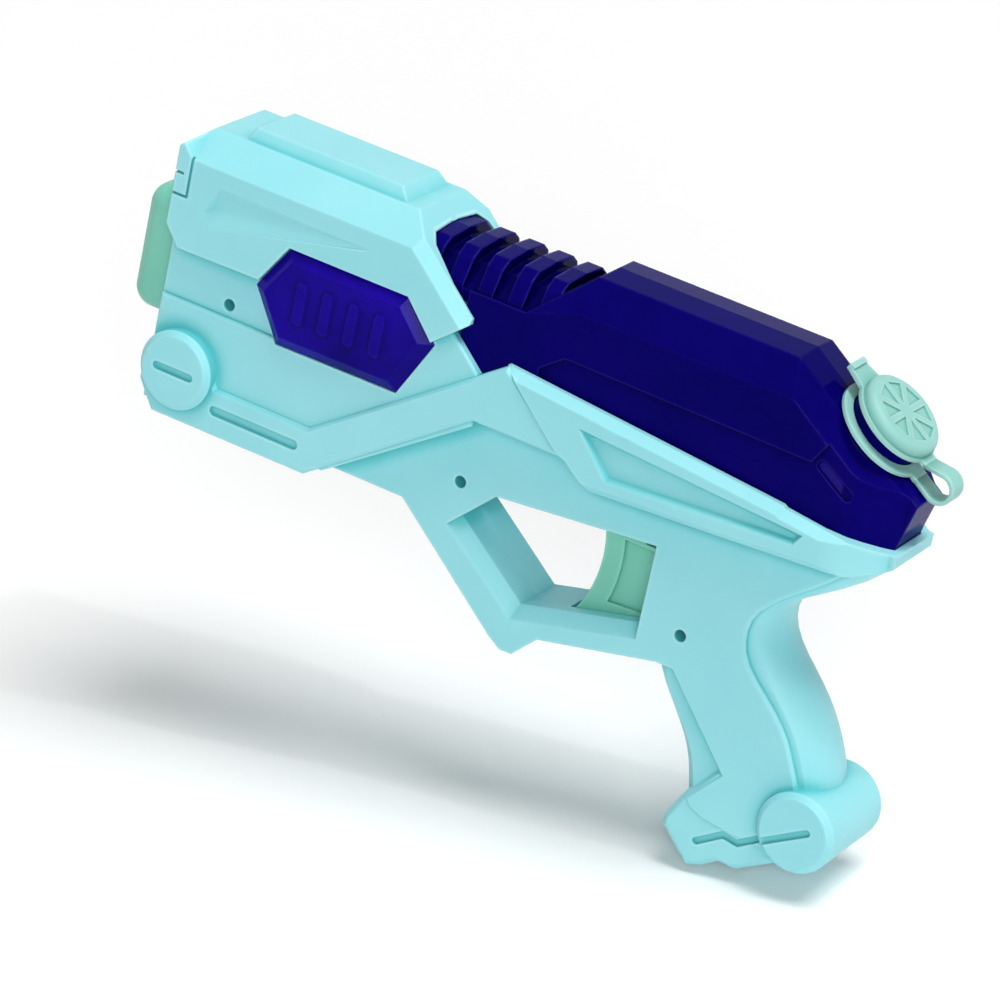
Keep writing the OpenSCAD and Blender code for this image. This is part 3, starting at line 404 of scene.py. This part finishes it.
def edge_normals_group():
    """Node group that splits the shading at edges still sharper than the limit."""
    group = bpy.data.node_groups.new("sharp_by_angle", "GeometryNodeTree")
    for way in ("INPUT", "OUTPUT"):
        group.interface.new_socket("Geometry", in_out=way, socket_type="NodeSocketGeometry")
    start = group.nodes.new("NodeGroupInput")
    end = group.nodes.new("NodeGroupOutput")
    smooth = group.nodes.new("GeometryNodeSetShadeSmooth")
    smooth.domain = "FACE"
    split = group.nodes.new("GeometryNodeSetShadeSmooth")
    split.domain = "EDGE"
    split.inputs["Shade Smooth"].default_value = False
    angle = group.nodes.new("GeometryNodeInputMeshEdgeAngle")
    compare = group.nodes.new("FunctionNodeCompare")
    compare.data_type = "FLOAT"
    compare.operation = "GREATER_THAN"
    compare.inputs["B"].default_value = math.radians(SHARP_DEG)
    group.links.new(start.outputs[0], smooth.inputs["Geometry"])
    group.links.new(smooth.outputs["Geometry"], split.inputs["Geometry"])
    group.links.new(angle.outputs["Unsigned Angle"], compare.inputs["A"])
    group.links.new(compare.outputs["Result"], split.inputs["Selection"])
    group.links.new(split.outputs["Geometry"], end.inputs[0])
    return group


sharp_group = edge_normals_group()


def soften(obj, width):
    """Join the faces, round the sharp edges by the width, and shade what is left of them apart."""
    normals = obj.data.attributes.get("custom_normal")
    if normals:
        obj.data.attributes.remove(normals)
    weld = obj.modifiers.new("join_faces", "WELD")
    weld.merge_threshold = JOIN_DISTANCE
    flat = obj.modifiers.new("flat_faces", "DECIMATE")
    flat.decimate_type = "DISSOLVE"
    flat.angle_limit = math.radians(FLAT_DEG)
    if width:
        bevel = obj.modifiers.new("edge_round", "BEVEL")
        bevel.width = width
        bevel.segments = ROUND_STEPS
        bevel.limit_method = "ANGLE"
        bevel.angle_limit = math.radians(ROUND_FROM_DEG)
        bevel.miter_outer = "MITER_ARC"
        bevel.use_clamp_overlap = True
    shade = obj.modifiers.new("shade", "NODES")
    shade.node_group = sharp_group
    weighted = obj.modifiers.new("weighted_normals", "WEIGHTED_NORMAL")
    weighted.keep_sharp = True


def dress(obj, finish):
    obj.data.materials.append(materials[finish])


slots = {row["node"]: row["material_slot"] for row in frame["record"]["subparts"]}
for name, obj in nodes.items():
    soften(obj, ROUND_WIDTHS.get(name, 0))
    obj.data.materials.clear()
    dress(obj, "violet_window" if "window" in name else slots[name])


# Flexible pieces: the return spring is a coil and the cap strap is a band that bends


def swept_mesh(name, rings):
    """Closed skin over rings of points that all have the same count."""
    count = len(rings[0])
    points = [point for ring in rings for point in ring]
    faces = []
    for k in range(len(rings) - 1):
        for j in range(count):
            a = k * count + j
            b = k * count + (j + 1) % count
            faces.append((a, b, b + count, a + count))
    last = (len(rings) - 1) * count
    faces.append(tuple(range(count - 1, -1, -1)))
    faces.append(tuple(range(last, last + count)))
    mesh = bpy.data.meshes.new(name)
    mesh.from_pydata(points, [], faces)
    made = bmesh.new()
    made.from_mesh(mesh)
    bmesh.ops.recalc_face_normals(made, faces=made.faces)
    made.to_mesh(mesh)
    made.free()
    mesh.shade_smooth()
    obj = bpy.data.objects.new(name, mesh)
    scene.collection.objects.link(obj)
    return obj


# Spring: helix between the piston and the closed end of the pump
SPRING_START = 75.55 * MM + FRAME_X
SPRING_END = 101.45 * MM + FRAME_X
SPRING_RADIUS = 5.25 * MM
WIRE_RADIUS = 0.5 * MM
SPRING_TURNS = 7
STEPS_PER_TURN = 40
WIRE_SIDES = 12
PUMP_HEIGHT = 113 * MM


def wire_ring(centre, outward):
    """Points round the wire, in the plane of the helix axis and the outward direction."""
    ring = []
    for j in range(WIRE_SIDES):
        a = 2 * math.pi * j / WIRE_SIDES
        ring.append(centre + WIRE_RADIUS * (math.cos(a) * outward + math.sin(a) * Vector((1, 0, 0))))
    return ring


def add_spring():
    first = SPRING_START + WIRE_RADIUS
    length = SPRING_END - WIRE_RADIUS - first
    steps = SPRING_TURNS * STEPS_PER_TURN
    rings = []
    for k in range(steps + 1):
        turn = 2 * math.pi * k / STEPS_PER_TURN
        outward = Vector((0, math.cos(turn), math.sin(turn)))
        centre = Vector((first + length * k / steps, 0, PUMP_HEIGHT)) + SPRING_RADIUS * outward
        rings.append(wire_ring(centre, outward))
    coil = swept_mesh("spring_coil", rings)
    dress(coil, "spring_steel")
    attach(coil, "body")
    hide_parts("return_spring")
    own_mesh(coil)


# Strap: a band that leaves the ring lug, turns round the hinge line and comes back to the cap lug
SLOPE = math.radians(34.5)
NECK = Vector((121.844 * MM + FRAME_X, 0, 170.476 * MM))
ALONG_SLOPE = Vector((math.cos(SLOPE), 0, -math.sin(SLOPE)))
OFF_SLOPE = Vector((math.sin(SLOPE), 0, math.cos(SLOPE)))
LOOP_REACH = 26.39 * MM
LOOP_HEIGHT = 6.2 * MM
LOOP_RADIUS = 5 * MM
LOOP_LOW = -math.pi / 2
LOOP_MIDDLE = math.radians(15)
LOOP_STEPS = 24
CAP_LUG = Vector((18 * MM, 7.4 * MM))
RING_LUG = Vector((20 * MM, 1.2 * MM))
LUG_OVERLAP = 0.4 * MM
STRAP_WIDTH = 8.5 * MM
STRAP_THICK = 1.6 * MM
STRAP_ROUND = 0.45 * MM
CORNER_STEPS = 4


def on_neck(s, h):
    """Point at s down the slope and h off it, from the middle of the neck."""
    return NECK + s * ALONG_SLOPE + h * OFF_SLOPE


def band_section():
    """Rounded section of the band as (across, outward) offsets."""
    half_wide = STRAP_WIDTH / 2 - STRAP_ROUND
    half_thick = STRAP_THICK / 2 - STRAP_ROUND
    offsets = []
    for k, (x, y) in enumerate(((1, 1), (-1, 1), (-1, -1), (1, -1))):
        for j in range(CORNER_STEPS + 1):
            a = math.pi / 2 * (k + j / CORNER_STEPS)
            across = x * half_wide + STRAP_ROUND * math.cos(a)
            out = y * half_thick + STRAP_ROUND * math.sin(a)
            offsets.append((across, out))
    return offsets


def band(name, path):
    """Band along path; each path point is (along slope, off slope, angle of its outward side)."""
    section = band_section()
    rings = []
    for s, h, angle in path:
        outward = math.cos(angle) * ALONG_SLOPE + math.sin(angle) * OFF_SLOPE
        centre = on_neck(s, h)
        rings.append([centre + across * Vector((0, 1, 0)) + out * outward for across, out in section])
    return swept_mesh(name, rings)


def loop_point(angle):
    return (
        LOOP_REACH + LOOP_RADIUS * math.cos(angle),
        LOOP_HEIGHT + LOOP_RADIUS * math.sin(angle),
        angle,
    )


def arc(start, end):
    return [loop_point(start + (end - start) * k / LOOP_STEPS) for k in range(LOOP_STEPS + 1)]


def bend_with_cap(obj):
    """Bake the place of a half of the loop into its mesh.
    """
    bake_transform(obj)


def add_strap():
    gap = LOOP_REACH - CAP_LUG.x
    rise = CAP_LUG.y - LOOP_HEIGHT
    leave = math.atan2(rise, -gap) - math.acos(LOOP_RADIUS / math.hypot(gap, rise))
    inside_ring = (RING_LUG.x - LUG_OVERLAP, RING_LUG.y, LOOP_LOW)
    off_s, off_h, _ = loop_point(leave)
    share = (off_s - CAP_LUG.x + LUG_OVERLAP) / (off_s - CAP_LUG.x)
    inside_cap = (CAP_LUG.x - LUG_OVERLAP, off_h + (CAP_LUG.y - off_h) * share, leave)
    lower = band("strap_lower", [inside_ring] + arc(LOOP_LOW, LOOP_MIDDLE))
    upper = band("strap_upper", arc(LOOP_MIDDLE, leave) + [inside_cap])
    for obj in (lower, upper):
        dress(obj, "cap_plastic")
        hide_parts("cap_strap")
    bend_with_cap(lower)
    bend_with_cap(upper)


add_spring()
add_strap()


# Floor, backdrop and light

WORLD_LEVEL = 0.15
FLOOR_GLOW = 0.08
FLOOR_WHITE = 0.96
FLOOR_HALF = 12
PURE_WHITE = (1, 1, 1, 1)


def corners():
    for obj in nodes.values():
        for vertex in obj.data.vertices:
            yield vertex.co


def seen_rays(tree):
    """One for camera, mirror and glass rays, nought for light that falls on the object."""
    path = tree.nodes.new("ShaderNodeLightPath")
    mirrored = combine(tree, "MAXIMUM", path.outputs["Is Glossy Ray"], path.outputs["Is Transmission Ray"])
    return combine(tree, "MAXIMUM", path.outputs["Is Camera Ray"], mirrored)


def stage_material():
    """White floor that shows the shadow; camera, mirror and glass rays see it a little brighter."""
    material = bpy.data.materials.new("stage_white")
    tree = blank_tree(material)
    output = tree.nodes.new("ShaderNodeOutputMaterial")
    diffuse = tree.nodes.new("ShaderNodeBsdfDiffuse")
    diffuse.inputs["Color"].default_value = (FLOOR_WHITE, FLOOR_WHITE, FLOOR_WHITE, 1)
    glow = tree.nodes.new("ShaderNodeEmission")
    glow.inputs["Color"].default_value = PURE_WHITE
    strength = spread(tree, seen_rays(tree), 0.0, FLOOR_GLOW, 0.0, 1.0)
    tree.links.new(strength, glow.inputs["Strength"])
    add = tree.nodes.new("ShaderNodeAddShader")
    tree.links.new(diffuse.outputs[0], add.inputs[0])
    tree.links.new(glow.outputs[0], add.inputs[1])
    tree.links.new(add.outputs[0], output.inputs["Surface"])
    return material


def add_floor():
    height = min(co.dot(floor_up) for co in corners())
    mesh = bpy.data.meshes.new("floor")
    made = bmesh.new()
    bmesh.ops.create_grid(made, x_segments=1, y_segments=1, size=FLOOR_HALF)
    made.to_mesh(mesh)
    made.free()
    floor = bpy.data.objects.new("floor", mesh)
    scene.collection.objects.link(floor)
    lean = floor_up.to_track_quat("Z", "Y").to_matrix().to_4x4()
    floor.matrix_world = Matrix.Translation(floor_up * height) @ lean
    mesh.materials.append(stage_material())


def lamp_offset(where):
    """Offset along the image's right, the floor's up and towards the camera."""
    along = (image_right - image_right.dot(floor_up) * floor_up).normalized()
    toward = along.cross(floor_up)
    return along * where[0] + floor_up * where[1] + toward * where[2]


def add_lamp(data, where):
    light = bpy.data.objects.new(data.name, data)
    scene.collection.objects.link(light)
    offset = lamp_offset(where)
    light.location = TARGET + offset
    light.rotation_mode = "QUATERNION"
    light.rotation_quaternion = offset.to_track_quat("Z", "Y")


def add_soft_sun(name, where, level, spread_deg):
    """Even light from a broad patch of sky; at level 1 a white floor facing it renders white."""
    data = bpy.data.lights.new(name, "SUN")
    data.energy = level * math.pi
    data.angle = math.radians(spread_deg)
    add_lamp(data, where)


def add_small_lamp(name, where, power, size):
    """Small bright lamp for crisp highlights on gloss."""
    data = bpy.data.lights.new(name, "AREA")
    data.shape = "DISK"
    data.size = size
    data.energy = power
    add_lamp(data, where)


def add_world():
    """Dim white sky; camera, mirror and glass rays see it plain white."""
    world = bpy.data.worlds.new("studio")
    scene.world = world
    tree = blank_tree(world)
    output = tree.nodes.new("ShaderNodeOutputWorld")
    glow = tree.nodes.new("ShaderNodeBackground")
    glow.inputs["Color"].default_value = PURE_WHITE
    strength = spread(tree, seen_rays(tree), WORLD_LEVEL, 1.0, 0.0, 1.0)
    tree.links.new(strength, glow.inputs["Strength"])
    tree.links.new(glow.outputs[0], output.inputs["Surface"])


add_camera()
add_floor()
add_world()
add_soft_sun("overhead", where=(0.31, 1.0, 0.2), level=0.67, spread_deg=32)
add_soft_sun("front", where=(0.0, 0.44, 1.0), level=0.38, spread_deg=26)
add_small_lamp("sparkle", where=(0.4, 1.2, 0.3), power=1.4, size=0.03)
